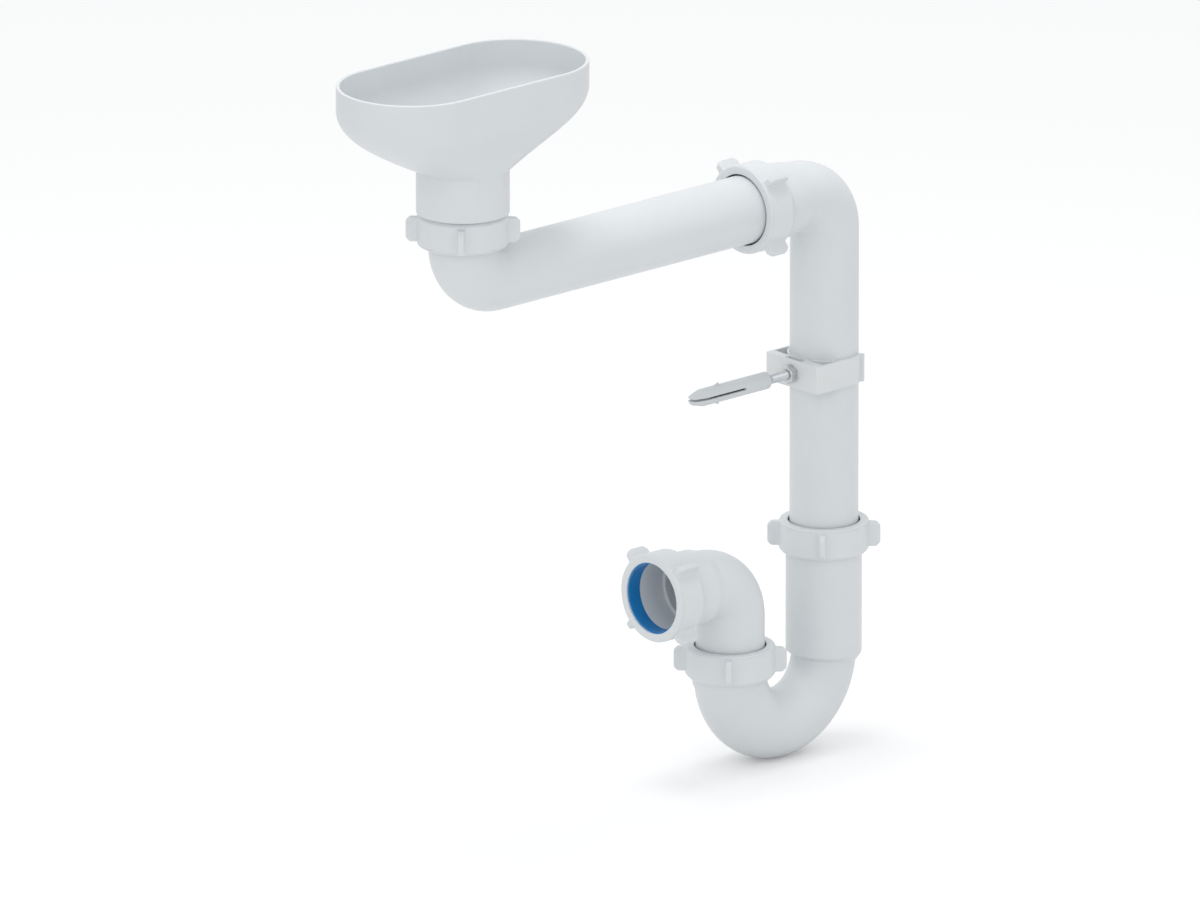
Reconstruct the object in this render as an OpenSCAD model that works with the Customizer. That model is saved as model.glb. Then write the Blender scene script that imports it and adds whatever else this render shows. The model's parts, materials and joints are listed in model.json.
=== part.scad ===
// Offset drain trap for a 40 mm waste pipe, in millimetres.
// An open oval hopper drains through a swivel arm and a drop pipe into a U-bend
// and out through an elbow. Every joint is a compression joint: a plain pipe in a
// threaded socket, a tapered seal ring round the pipe, and a winged nut over both.
// All pipe axes lie in the XZ plane. The origin is on the outlet's axis, at the
// stop inside the outlet socket, and the outlet opens towards -X.

/* [Pipes] */
// Outside diameter of every pipe
pipe_d = 40; // [38:0.5:42]
// Wall of the pipes and bends
pipe_wall = 2; // [1.6:0.1:2.6]
// Centre-line radius of the elbows
elbow_r = 23; // [21.5:0.5:26]

/* [Layout] */
// From the hopper's axis to the drop pipe's axis
arm_reach = 285; // [200:5:340]
// From the outlet's axis up to the arm's axis
drop = 219.5; // [190:0.5:260]
// From the arm's axis up to the hopper nut's closed face
hopper_rise = 24; // [24:0.5:60]
// From the drop pipe's axis to the pipe stop in its arm socket
arm_stop = 38; // [36:0.5:60]
// From the outlet leg's axis to the pipe stop in the outlet socket
outlet_stop = 34.5; // [34:0.5:60]

/* [Compression joints] */
// Outside diameter of the socket threads
thread_d = 47.8; // [47.4:0.1:48.6]
// Radial gap between a pipe and its socket
slip = 0.4; // [0.2:0.05:0.6]
// Depth of a socket from its mouth to its pipe stop
socket_depth = 24.4; // [18:0.2:30]
// Wall of the plain collar behind the thread
collar_wall = 1.75; // [1.5:0.05:2.2]
// Length of the tapered seat in a socket's mouth
seat_len = 7; // [5:0.5:9]
// How far the seat widens the socket's mouth
seat_flare = 2; // [1.5:0.1:2.3]
// Thickness of a seal ring's lip, between nut and socket
lip_t = 2.2; // [1:0.1:3]
// Gap left round a seal ring where it is shown just touching
seal_fit = 0.05; // [0.02:0.01:0.1]
// Gap between a pipe and the slack seal ring of the open outlet
slack_fit = 0.2; // [0.15:0.01:0.25]

/* [Winged nuts] */
// Outside diameter of a nut's body
nut_d = 52.2; // [51:0.2:56]
// Length of a nut along its axis
nut_len = 18.5; // [16:0.5:24]
// Thickness of a nut's closed face
nut_face_t = 1.4; // [1.2:0.1:2.6]
// Radial gap round the pipe in a nut's face
nut_gap = 1.1; // [0.45:0.05:1.4]
// Rounding of the closed face's edge
nut_round = 2; // [1:0.1:2.4]
// Chamfer of the open end
nut_chamfer = 1.8; // [0.5:0.1:1.8]
// Number of wings
wing_count = 4; // [3:1:6]
// Diameter over the wing tips
wing_d = 65.6; // [62:0.2:72]
// Thickness of a wing
wing_t = 3.4; // [2.5:0.1:5]
// From the closed face to a wing's near end
wing_inset = 1.4; // [0.6:0.1:2.4]
// From a wing's far end to the nut's open end
wing_outset = 2.6; // [1:0.1:3.4]
// Rounding of a wing's corners
wing_round = 2.2; // [1:0.1:3]

/* [U-bend] */
// Between the axes of its two legs
leg_gap = 74.5; // [72:0.5:90]
// From the outlet's axis down to the bend's centre
bend_drop = 58; // [56:0.5:80]
// Outside diameter of the bend's tube where it leaves the inlet sleeve
bend_in_d = 37.6; // [37:0.1:38]
// Outside diameter of the bend's tube where it rises to the outlet leg
bend_out_d = 42.4; // [41:0.1:43]
// From the outlet's axis up to the inlet nut's closed face
inlet_rise = 20; // [10:0.5:50]
// From the bend's centre up to the outlet leg nut's closed face
outlet_leg_rise = 17.5; // [15:0.5:21]
// Length of the drop pipe inside the inlet sleeve
drop_insert = 45; // [30:1:60]

/* [Hopper] */
// Length of the rim along X
rim_l = 166.2; // [140:0.2:200]
// Width of the rim along Y
rim_w = 86.6; // [76:0.2:100]
// Height from the neck's shoulder to the rim
hopper_h = 83.2; // [76:0.1:120]
// Wall of the bowl and neck
hopper_wall = 2.2; // [1.8:0.1:3]
// Outside diameter of the round neck
neck_d = 53.8; // [52:0.1:58]
// Length of the straight neck
neck_l = 26.2; // [20:0.1:30]
// Height of the upright wall below the rim
rim_wall_h = 14.5; // [8:0.1:16]
// Height of the fillet where the neck flares out
flare_fillet = 15.8; // [10:0.1:20]
// Height of the rounding where the flare meets the upright wall
flare_round = 16.3; // [12:0.1:22]
// How early the flare opens lengthways: more is earlier
flare_lead = 0.79; // [0:0.01:0.9]
// Thickness of the floor round the drain hole
floor_t = 2.2; // [1.8:0.1:3]

/* [Wall clip] */
// From the outlet's axis up to the clip's bolt
clip_rise = 113; // [95:0.5:140]
// Height of the clip along the pipe
clip_h = 16.6; // [15:0.1:24]
// Thickness of the clip's base behind the pipe
clip_base_t = 6; // [5.8:0.1:9]
// Thickness of the clip's arms
clip_arm_t = 2; // [1.6:0.1:3]
// Reach of the flat-sided arms past the pipe's axis
clip_arm_reach = 6.7; // [3:0.1:8]
// Half of the angle that the clip's mouth leaves open
mouth_angle = 55; // [50:1:62]
// Height of the lips beside the mouth, outside the pipe
clip_lip = 3.8; // [3:0.1:6]

/* [Hanger bolt and nuts] */
// Diameter of the bolt
bolt_d = 6; // [5:0.5:8]
// Radial gap in the nuts, the plug and the clip's hole
bolt_fit = 0.05; // [0.02:0.01:0.1]
// Length of bolt in sight between plug and lock nut
bolt_show = 14.8; // [6:0.1:30]
// Length of the bolt inside the plug
bolt_bury = 45; // [30:1:50]
// Width across the flats of the lock nut
lock_af = 10; // [10:0.5:14]
// Thickness of the lock nut
lock_t = 5; // [3:0.5:7]
// Width of the square nut held in the clip's base
square_af = 12.6; // [10:0.1:13.5]
// Thickness of the square nut
square_t = 3.2; // [2.5:0.1:3.4]
// Gap round the square nut in its pocket
square_gap = 0.3; // [0.1:0.05:0.5]

/* [Wall plug] */
// Outside diameter of the plug
plug_d = 10.2; // [9:0.1:14]
// Length of the plug
plug_l = 60; // [55:0.5:90]
// Length of the tapered tip
plug_tip_l = 8; // [5:0.5:12]
// Diameter at the tip's end
plug_tip_d = 6.4; // [4:0.1:8]
// Length of the slit from the tip
slit_l = 39.1; // [25:0.1:45]
// Width of the slit
slit_w = 1.5; // [0.8:0.1:2.5]
// From the tip to the middle of the fins
fin_at = 19.6; // [14:0.1:30]
// How far the fins stand out
fin_h = 1.4; // [0.6:0.1:2]

/* [Hidden] */
$fn = 96;

// Overshoot of a cut past the face it opens
cut = 1;

// Radii shared by the joints
pipe_r = pipe_d / 2;
pipe_ir = pipe_r - pipe_wall;
socket_r = pipe_r + slip;
collar_r = socket_r + collar_wall;
thread_r = thread_d / 2;
seat_r = socket_r + seat_flare;
seat_slope = seat_flare / seat_len;

// From a nut's closed face: the socket's mouth, its stop, and the end of its thread
mouth_set = nut_face_t + lip_t;
stop_set = mouth_set + socket_depth;
thread_len = nut_len - mouth_set - cut;

// Axes and levels of the assembly
outlet_x = outlet_stop;
drop_x = outlet_x + leg_gap;
hopper_x = drop_x - arm_reach;
bend_z = -bend_drop;
bend_r = leg_gap / 2;
bend_x = drop_x - bend_r;
inlet_mouth_z = inlet_rise - mouth_set;
outlet_leg_face_z = bend_z + outlet_leg_rise;
hopper_face_z = drop + hopper_rise;
arm_face_x = drop_x - arm_stop - stop_set;
outlet_face_x = -stop_set;

// U-bend: pipe stops below the bend's centre, and the tapers that lead into the tube
sleeve_stop_drop = 0.3;
leg_stop_drop = 3;
sleeve_taper = 3.6;
sleeve_ledge = 0.6;
leg_taper = 5;
leg_sink = 1.7;
bore_relief = 0.25;
bend_in_r = bend_in_d / 2;
bend_out_r = bend_out_d / 2;
bend_out_wall = 3;
bend_grow = [30, 140];
bend_facets = 48;
bend_rings = 22;

// Plain collar of the outlet elbow past its pipe stop
outlet_collar_l = 5.5;

// Winged nut
nut_r = nut_d / 2;
nut_hole_r = pipe_r + nut_gap;
thread_play = 0.1;
nut_bore_r = thread_r + thread_play;
nut_lead_in = 0.6;
wing_r = wing_d / 2;
wing_draft = 0.2;
wing_tip_round = 0.8;
wing_fillet = 2;

// Hopper, with heights from its nut's closed face
nut_end_gap = 0.3;
shoulder_z = nut_len + nut_end_gap;
neck_r = neck_d / 2;
rim_r = rim_w / 2;
rim_c = rim_l / 2 - rim_r;
flare_h = hopper_h - neck_l - rim_wall_h;
drain_r = pipe_ir;
hopper_stop_z = shoulder_z + 0.8;
floor_z = hopper_stop_z + floor_t;
funnel_z = floor_z + 2.5;
rim_edge = 0.5;
rim_facets = 72;
flare_rings = 14;

// Clip, with heights from the bolt's axis
clip_back = pipe_r + clip_base_t;
clip_half_w = pipe_r + clip_arm_t;
clip_corner = 1.5;
saddle_t = 1.6;
pocket_inset = 0.2;
pocket_wall = 1.5;
clip_web = 1.2;
grip_fit = 0.05;
lip_w = 1.6;
lip_lead = 0.1;
lock_chamfer = 0.8;
slot_t = square_t + 2 * square_gap;
slot_w = square_af + 2 * square_gap;
slot_x = -pipe_r - clip_web - slot_t / 2;
clip_hole_play = 0.2;

// Bolt and plug, with distances from the pipe's axis
bolt_r = bolt_d / 2;
bolt_end_x = slot_x + slot_t / 2 - 0.2;
lock_x = -clip_back - lock_t;
plug_x = lock_x - bolt_show;
bolt_point_l = 6;
bolt_point_r = 1;
bolt_chamfer = 0.5;
plug_bore_l = bolt_bury + 2;
plug_edge = 0.8;
fin_l = 4;
fin_w = 1.2;

// Arc of n steps from angle a0 to a1 round a centre
function arc(x, y, r, a0, a1, n = 8) =
    [for (i = [0:n]) let (a = a0 + (a1 - a0) * i / n) [x + r * cos(a), y + r * sin(a)]];

// Radius of the tapered seat at depth t behind the mouth
function seat_at(t) = seat_r - seat_slope * t;

// Moves a child whose +Z runs from a nut's closed face into its socket
module along_x(x, z) {
    translate([x, 0, z]) rotate([0, 90, 0]) children();
}
module upwards(x, z) {
    translate([x, 0, z]) children();
}
module downwards(x, z) {
    translate([x, 0, z]) rotate([180, 0, 0]) children();
}

// Part of a ring of circular section, from +X towards +Z about the Y axis
module ring_arc(ring_r, r, angle) {
    rotate([90, 0, 0]) rotate_extrude(angle = angle) translate([ring_r, 0]) circle(r);
}

// Outside of a threaded socket, from its mouth to its stop
module socket_body(depth) {
    translate([0, 0, mouth_set]) {
        cylinder(r = thread_r, h = thread_len);
        cylinder(r = collar_r, h = depth + pipe_wall / 2);
    }
}

// Tapered seat and pipe bore of a socket
module socket_bore(depth) {
    translate([0, 0, mouth_set]) {
        cylinder(r1 = seat_r, r2 = socket_r, h = seat_len);
        cylinder(r = socket_r, h = depth);
    }
    translate([0, 0, mouth_set - cut]) cylinder(r = seat_r, h = cut);
}

// Profile of one wing along the nut: radius across, length up
module wing_side() {
    near = wing_inset;
    far = nut_len - wing_outset;
    polygon(concat(
        [[nut_bore_r + 1, near]],
        arc(wing_r - wing_round, near + wing_round, wing_round, -90, 0),
        arc(wing_r - wing_round, far - wing_round, wing_round, 0, 90),
        [[nut_bore_r + 1, far]]));
}

// Outline of one wing seen along the nut, with fillets at its root
module wing_plan() {
    root = wing_t / 2 + wing_draft;
    tip = wing_t / 2;
    foot_r = nut_r - 0.3;
    half = concat(
        [[nut_bore_r + 1, -root - wing_fillet]],
        arc(foot_r + wing_fillet, -root - wing_fillet, wing_fillet, 180, 90),
        arc(wing_r - wing_tip_round, -tip + wing_tip_round, wing_tip_round, -90, 0, 4));
    mirrored = [for (i = [len(half) - 1:-1:0]) [half[i][0], -half[i][1]]];
    polygon(concat(half, mirrored));
}

module wing() {
    intersection() {
        linear_extrude(nut_len) wing_plan();
        rotate([90, 0, 0]) linear_extrude(4 * wing_t, center = true) wing_side();
    }
}

// Winged nut: closed face at z = 0, open threaded end upwards
module winged_nut() {
    color("gainsboro") {
        rotate_extrude() polygon(concat(
            [[nut_hole_r, 0]],
            arc(nut_r - nut_round, nut_round, nut_round, -90, 0),
            [[nut_r, nut_len - nut_chamfer],
             [nut_r - nut_chamfer, nut_len],
             [nut_bore_r + nut_lead_in / 2, nut_len],
             [nut_bore_r, nut_len - nut_lead_in],
             [nut_bore_r, nut_face_t],
             [nut_hole_r, nut_face_t]]));
        for (i = [0:wing_count - 1]) rotate(180 / wing_count + i * 360 / wing_count) wing();
    }
}

// Tapered seal ring between nut and socket
module seal_ring(inner_r) {
    lip_r = thread_r - 0.4;
    nose = seat_len - 0.8;
    color("steelblue") rotate_extrude() polygon([
        [inner_r, nut_face_t],
        [lip_r, nut_face_t],
        [lip_r, mouth_set],
        [seat_at(0) - seal_fit, mouth_set],
        [seat_at(nose) - seal_fit, mouth_set + nose],
        [inner_r, mouth_set + nose]]);
}

// Closed outline of the bowl: a circle stretched by c to each side, at height z
function ring(c, r, z) =
    [for (i = [0:rim_facets - 1]) let (a = 360 * (i + 0.5) / rim_facets)
        [(cos(a) > 0 ? c : -c) + r * cos(a), r * sin(a), z]];

// Smooth steps from 0 at the neck to 1 at the upright wall: across, lengthways and in height
function flare_t(i) = pow(i / flare_rings, 1.3);
function flare_across(t) = 3 * (1 - t) * t * t + t * t * t;
function flare_along(t) = 3 * (1 - t) * (1 - t) * t * flare_lead + flare_across(t);
function flare_z(t, z0, z1) =
    pow(1 - t, 3) * z0 + 3 * pow(1 - t, 2) * t * (z0 + flare_fillet)
    + 3 * (1 - t) * t * t * (z1 - flare_round) + pow(t, 3) * z1;
function flare_ring(t, inset, z0, z1) =
    ring(rim_c * flare_along(t), neck_r - inset + (rim_r - neck_r) * flare_across(t),
         flare_z(t, z0, z1));

// Bowl and neck as one skin: up the outside, over the rim and down the inside
module bowl() {
    flare0 = shoulder_z + neck_l;
    flare1 = flare0 + flare_h;
    top = shoulder_z + hopper_h;
    edge = rim_edge * 0.8;
    rings = concat(
        [ring(0, neck_r, shoulder_z)],
        [for (i = [0:flare_rings]) flare_ring(flare_t(i), 0, flare0, flare1)],
        [ring(rim_c, rim_r, top - rim_edge),
         ring(rim_c, rim_r - edge, top),
         ring(rim_c, rim_r - hopper_wall + edge, top),
         ring(rim_c, rim_r - hopper_wall, top - rim_edge)],
        [for (i = [flare_rings:-1:0])
            flare_ring(flare_t(i), hopper_wall, flare0 + hopper_wall, flare1)],
        [ring(0, neck_r - hopper_wall, funnel_z),
         ring(0, drain_r + 1, floor_z)]);
    n = rim_facets;
    last = len(rings) - 1;
    polyhedron(
        points = [for (r = rings) each r],
        faces = concat(
            [[for (i = [0:n - 1]) i]],
            [for (k = [0:last - 1], i = [0:n - 1])
                let (j = (i + 1) % n) [k * n + i, (k + 1) * n + i, (k + 1) * n + j]],
            [for (k = [0:last - 1], i = [0:n - 1])
                let (j = (i + 1) % n) [k * n + i, (k + 1) * n + j, k * n + j]],
            [[for (i = [n - 1:-1:0]) last * n + i]]),
        convexity = 6);
}

module hopper() {
    color("whitesmoke") upwards(hopper_x, hopper_face_z) difference() {
        union() {
            bowl();
            translate([0, 0, mouth_set]) cylinder(r = thread_r, h = shoulder_z - mouth_set + cut / 2);
        }
        socket_bore(hopper_stop_z - mouth_set);
        cylinder(r = drain_r, h = floor_z + cut);
    }
}
module hopper_nut() { upwards(hopper_x, hopper_face_z) winged_nut(); }
module hopper_seal() { upwards(hopper_x, hopper_face_z) seal_ring(pipe_r + seal_fit); }

// Upright spigot, elbow and long arm as one filled shape of radius r
module arm_shape(r, over) {
    spigot = hopper_rise + hopper_stop_z - elbow_r;
    run = arm_reach - arm_stop - elbow_r;
    translate([hopper_x + elbow_r, 0, drop + elbow_r]) rotate([0, 180, 0]) ring_arc(elbow_r, r, 90);
    upwards(hopper_x, drop + elbow_r) cylinder(r = r, h = spigot + over);
    along_x(hopper_x + elbow_r, drop) cylinder(r = r, h = run + over);
}

module swivel_arm() {
    color("gainsboro") difference() {
        arm_shape(pipe_r, 0);
        arm_shape(pipe_ir, cut);
    }
}
module arm_nut() { along_x(arm_face_x, drop) winged_nut(); }
module arm_seal() { along_x(arm_face_x, drop) seal_ring(pipe_r + seal_fit); }

module drop_pipe() {
    leg = drop - elbow_r - inlet_mouth_z + drop_insert;
    color("gainsboro") difference() {
        union() {
            along_x(arm_face_x, drop) socket_body(socket_depth);
            along_x(drop_x - arm_stop + pipe_wall / 2, drop)
                cylinder(r1 = collar_r, r2 = pipe_r, h = arm_stop - elbow_r - pipe_wall / 2);
            translate([drop_x - elbow_r, 0, drop - elbow_r]) ring_arc(elbow_r, pipe_r, 90);
            downwards(drop_x, drop - elbow_r) cylinder(r = pipe_r, h = leg);
        }
        along_x(arm_face_x, drop) socket_bore(socket_depth);
        along_x(drop_x - arm_stop - cut, drop) cylinder(r = pipe_ir, h = arm_stop - elbow_r + cut);
        translate([drop_x - elbow_r, 0, drop - elbow_r]) ring_arc(elbow_r, pipe_ir, 90);
        downwards(drop_x, drop - elbow_r) cylinder(r = pipe_ir, h = leg + cut);
    }
}
module inlet_nut() { downwards(drop_x, inlet_rise) winged_nut(); }
module inlet_seal() { downwards(drop_x, inlet_rise) seal_ring(pipe_r + seal_fit); }

// Share of the U-bend's growth at angle a from its inlet, easing in and out
function bend_growth(a) =
    let (t = min(1, max(0, (a - bend_grow[0]) / (bend_grow[1] - bend_grow[0])))) t * t * (3 - 2 * t);

// Circle of radius r across the U-bend at angle a from its inlet
function bend_ring(a, r) =
    [for (i = [0:bend_facets - 1]) let (b = 360 * (i + 0.5) / bend_facets, d = bend_r + r * cos(b))
        [bend_x + d * cos(a), r * sin(b), bend_z - d * sin(a)]];

// Widening tube of the U-bend as one skin: round the outside, then back through the bore
module bend_tube() {
    n = bend_facets;
    count = 2 * bend_rings + 2;
    bore_in_r = bend_in_r - pipe_wall;
    bore_out_r = bend_out_r - bend_out_wall;
    rings = [for (k = [0:count - 1])
        let (a = 180 * (k <= bend_rings ? k : count - 1 - k) / bend_rings, g = bend_growth(a))
        bend_ring(a, k <= bend_rings ? bend_in_r + (bend_out_r - bend_in_r) * g
                                     : bore_in_r + (bore_out_r - bore_in_r) * g)];
    polyhedron(
        points = [for (r = rings) each r],
        faces = [for (k = [0:count - 1], i = [0:n - 1])
            let (j = (i + 1) % n, m = (k + 1) % count) [k * n + i, k * n + j, m * n + j, m * n + i]],
        convexity = 6);
}

// U-bend: a long inlet sleeve, the widening tube, and a short outlet socket
module trap_bend() {
    sleeve_depth = inlet_mouth_z - bend_z + sleeve_stop_drop;
    leg_depth = outlet_leg_rise - mouth_set + leg_stop_drop;
    sleeve_end = bend_z - sleeve_stop_drop - pipe_wall / 2;
    leg_end = bend_z - leg_stop_drop - pipe_wall / 2;
    color("gainsboro") difference() {
        union() {
            bend_tube();
            downwards(drop_x, inlet_rise) socket_body(sleeve_depth);
            downwards(drop_x, sleeve_end)
                cylinder(r1 = collar_r, r2 = bend_in_r + sleeve_ledge, h = sleeve_taper);
            downwards(outlet_x, outlet_leg_face_z) socket_body(leg_depth);
            downwards(outlet_x, leg_end)
                cylinder(r1 = collar_r, r2 = bend_out_r - leg_sink, h = leg_taper);
        }
        downwards(drop_x, inlet_rise) socket_bore(sleeve_depth);
        downwards(outlet_x, outlet_leg_face_z) socket_bore(leg_depth);
        translate([bend_x, 0, bend_z]) {
            rotate([0, bend_grow[0], 0])
                ring_arc(bend_r, bend_in_r - pipe_wall + bore_relief, 2 * bend_grow[0]);
            rotate([0, 180, 0])
                ring_arc(bend_r, bend_out_r - bend_out_wall + bore_relief, 180 - bend_grow[1]);
        }
    }
}
module outlet_leg_nut() { downwards(outlet_x, outlet_leg_face_z) winged_nut(); }
module outlet_leg_seal() { downwards(outlet_x, outlet_leg_face_z) seal_ring(pipe_r + seal_fit); }

module outlet_elbow() {
    leg = -elbow_r - bend_z + leg_stop_drop;
    color("gainsboro") difference() {
        union() {
            along_x(outlet_face_x, 0) socket_body(socket_depth);
            along_x(-cut, 0) cylinder(r = collar_r, h = outlet_collar_l + cut);
            along_x(outlet_collar_l, 0)
                cylinder(r1 = collar_r, r2 = pipe_r, h = outlet_x - elbow_r - outlet_collar_l);
            translate([outlet_x - elbow_r, 0, -elbow_r]) ring_arc(elbow_r, pipe_r, 90);
            downwards(outlet_x, -elbow_r) cylinder(r = pipe_r, h = leg);
        }
        along_x(outlet_face_x, 0) socket_bore(socket_depth);
        along_x(-cut, 0) cylinder(r = pipe_ir, h = outlet_x - elbow_r + cut);
        translate([outlet_x - elbow_r, 0, -elbow_r]) ring_arc(elbow_r, pipe_ir, 90);
        downwards(outlet_x, -elbow_r) cylinder(r = pipe_ir, h = leg + cut);
    }
}
module outlet_nut() { along_x(outlet_face_x, 0) winged_nut(); }
module outlet_seal() { along_x(outlet_face_x, 0) seal_ring(pipe_r + slack_fit); }

// Outline of the snap-in clip seen from above, with the pipe's axis at the origin
module clip_plan() {
    w = clip_half_w;
    back = clip_back - clip_corner;
    side = w - clip_corner;
    difference() {
        union() {
            polygon(concat(
                [[clip_arm_reach, -w], [clip_arm_reach, w]],
                arc(-back, side, clip_corner, 90, 180),
                arc(-back, -side, clip_corner, 180, 270)));
            intersection() {
                circle(w);
                translate([clip_arm_reach - cut, -w]) square([w, 2 * w]);
            }
        }
        circle(pipe_r + grip_fit);
        polygon([[0, 0], 2 * w * [cos(mouth_angle), -sin(mouth_angle)], [2 * w, 0],
                 2 * w * [cos(mouth_angle), sin(mouth_angle)]]);
        clip_pocket_plan();
        mirror([0, 1]) clip_pocket_plan();
    }
    for (side = [-1, 1])
        rotate(side * mouth_angle)
            translate([pipe_r + clip_arm_t / 2, side > 0 ? -lip_lead : -lip_w])
                square([clip_lip - clip_arm_t / 2, lip_lead + lip_w]);
}

// Corner pocket between the base, one arm and the saddle round the pipe
module clip_pocket_plan() {
    difference() {
        translate([-pipe_r - pocket_inset, clip_arm_t])
            square([pipe_r, clip_half_w - pocket_wall - clip_arm_t]);
        circle(pipe_r + saddle_t);
    }
}

module pipe_clip() {
    color("whitesmoke") translate([drop_x, 0, clip_rise]) difference() {
        translate([0, 0, -clip_h / 2]) linear_extrude(clip_h) clip_plan();
        translate([slot_x - slot_t / 2, -slot_w / 2, -slot_w / 2]) cube([slot_t, slot_w, clip_h]);
        along_x(-clip_back - cut, 0) cylinder(r = bolt_r + clip_hole_play, h = clip_back + cut + slot_x);
    }
}

// Square nut, drawn up against the outer wall of its pocket
module clip_square_nut() {
    color("silver") along_x(drop_x + slot_x - slot_t / 2, clip_rise) difference() {
        linear_extrude(square_t) square(square_af, center = true);
        translate([0, 0, -cut]) cylinder(r = bolt_r + bolt_fit, h = square_t + 2 * cut);
    }
}

// Hexagon nut locked against the clip's back, with chamfered corners
module clip_lock_nut() {
    corner_r = lock_af / 2 / cos(30);
    face_r = lock_af / 2 - 0.2;
    color("silver") along_x(drop_x + lock_x, clip_rise) difference() {
        intersection() {
            cylinder(r = corner_r, h = lock_t, $fn = 6);
            rotate_extrude() polygon([
                [0, 0], [face_r, 0], [corner_r + 0.1, lock_chamfer],
                [corner_r + 0.1, lock_t - lock_chamfer], [face_r, lock_t], [0, lock_t]]);
        }
        translate([0, 0, -cut]) cylinder(r = bolt_r + bolt_fit, h = lock_t + 2 * cut);
    }
}

module hanger_bolt() {
    start = plug_x - bolt_bury;
    length = bolt_end_x - start;
    color("silver") along_x(drop_x + start, clip_rise) rotate_extrude() polygon([
        [0, 0], [bolt_point_r, 0], [bolt_r, bolt_point_l],
        [bolt_r, length - bolt_chamfer], [bolt_r - bolt_chamfer, length], [0, length]]);
}

// Split expansion plug with a tapered tip and two fins
module wall_plug() {
    r = plug_d / 2;
    color("whitesmoke") along_x(drop_x + plug_x - plug_l, clip_rise) difference() {
        union() {
            rotate_extrude() polygon([
                [0, 0], [plug_tip_d / 2 - plug_edge, 0], [plug_tip_d / 2, plug_edge],
                [r, plug_tip_l], [r, plug_l - plug_edge], [r - plug_edge, plug_l], [0, plug_l]]);
            for (side = [0, 180]) rotate(side) translate([0, 0, fin_at - fin_l / 2])
                rotate([90, 0, 0]) linear_extrude(fin_w, center = true)
                    polygon([[r - cut, 0], [r, 0], [r + fin_h, fin_l], [r - cut, fin_l]]);
        }
        translate([0, 0, plug_l - plug_bore_l]) cylinder(r = bolt_r + bolt_fit, h = plug_bore_l + cut);
        translate([-slit_w / 2, -plug_d, -cut]) cube([slit_w, 2 * plug_d, slit_l + cut]);
    }
}

hopper();
hopper_nut();
hopper_seal();
swivel_arm();
arm_nut();
arm_seal();
drop_pipe();
inlet_nut();
inlet_seal();
trap_bend();
outlet_leg_nut();
outlet_leg_seal();
outlet_elbow();
outlet_nut();
outlet_seal();
pipe_clip();
clip_square_nut();
clip_lock_nut();
hanger_bolt();
wall_plug();
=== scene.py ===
"""Offset drain trap in moulded plastic, dressed for its portrait.

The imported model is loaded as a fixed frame. Pipes, elbow and seals keep their own meshes and get a finish.
The hopper, the U-bend, the winged nuts, the hanger bolt, the clip and the wall plug are built again here
with softer edges, each in the place that its node has in the frame. Sizes are in millimetres, and a piece
is turned into metres where its mesh is made.
"""

import json
import logging
import math
from dataclasses import dataclass
from enum import Enum

import bmesh
import bpy
import numpy as np
from mathutils import Matrix, Vector

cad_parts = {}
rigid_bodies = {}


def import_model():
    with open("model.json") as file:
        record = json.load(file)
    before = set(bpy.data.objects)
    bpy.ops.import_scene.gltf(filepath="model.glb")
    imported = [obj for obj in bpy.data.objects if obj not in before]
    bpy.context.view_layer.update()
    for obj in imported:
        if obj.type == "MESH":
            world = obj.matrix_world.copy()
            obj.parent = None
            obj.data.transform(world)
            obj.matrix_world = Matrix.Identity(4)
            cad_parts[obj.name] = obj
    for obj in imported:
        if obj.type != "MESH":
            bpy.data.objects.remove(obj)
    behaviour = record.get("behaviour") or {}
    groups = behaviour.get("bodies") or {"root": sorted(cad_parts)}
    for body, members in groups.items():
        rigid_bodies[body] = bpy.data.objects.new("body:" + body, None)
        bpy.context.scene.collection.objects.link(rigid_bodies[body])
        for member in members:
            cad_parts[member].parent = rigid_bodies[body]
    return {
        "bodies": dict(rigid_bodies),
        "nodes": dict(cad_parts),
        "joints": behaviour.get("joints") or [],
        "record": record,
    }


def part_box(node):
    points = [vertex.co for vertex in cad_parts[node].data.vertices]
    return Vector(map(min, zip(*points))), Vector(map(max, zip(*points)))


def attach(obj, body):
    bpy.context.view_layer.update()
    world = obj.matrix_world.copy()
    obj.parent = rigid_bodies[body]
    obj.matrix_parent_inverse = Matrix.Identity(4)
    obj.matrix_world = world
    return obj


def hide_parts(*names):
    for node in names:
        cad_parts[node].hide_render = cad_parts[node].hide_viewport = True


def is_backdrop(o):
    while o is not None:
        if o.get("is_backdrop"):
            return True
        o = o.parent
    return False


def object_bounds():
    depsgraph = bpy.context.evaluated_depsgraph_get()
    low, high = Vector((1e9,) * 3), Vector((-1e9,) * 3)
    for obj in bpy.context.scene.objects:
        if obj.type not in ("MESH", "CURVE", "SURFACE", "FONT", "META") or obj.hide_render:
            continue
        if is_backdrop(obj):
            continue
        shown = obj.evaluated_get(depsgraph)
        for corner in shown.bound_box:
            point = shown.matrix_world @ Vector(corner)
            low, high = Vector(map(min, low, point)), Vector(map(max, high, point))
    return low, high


Array = np.ndarray
Colour = tuple[float, float, float]

MM = 0.001
BODY = "root"
log = logging.getLogger("drain_trap")


class Slot(Enum):
    """Material slots of the record, by the finish that fills them."""

    PLASTIC = "trap_plastic"
    SEAL = "seal_blue"
    # The blue seal painted dark grey-blue: painted shade for a seal that sits in the narrow gap round a pipe.
    SEAL_PAINTED_SHADE = "seal_blue, painted shade"
    CLIP = "clip_plastic"
    NYLON = "plug_nylon"
    BOLT = "bolt_steel"
    NUT = "nut_steel"


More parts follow.
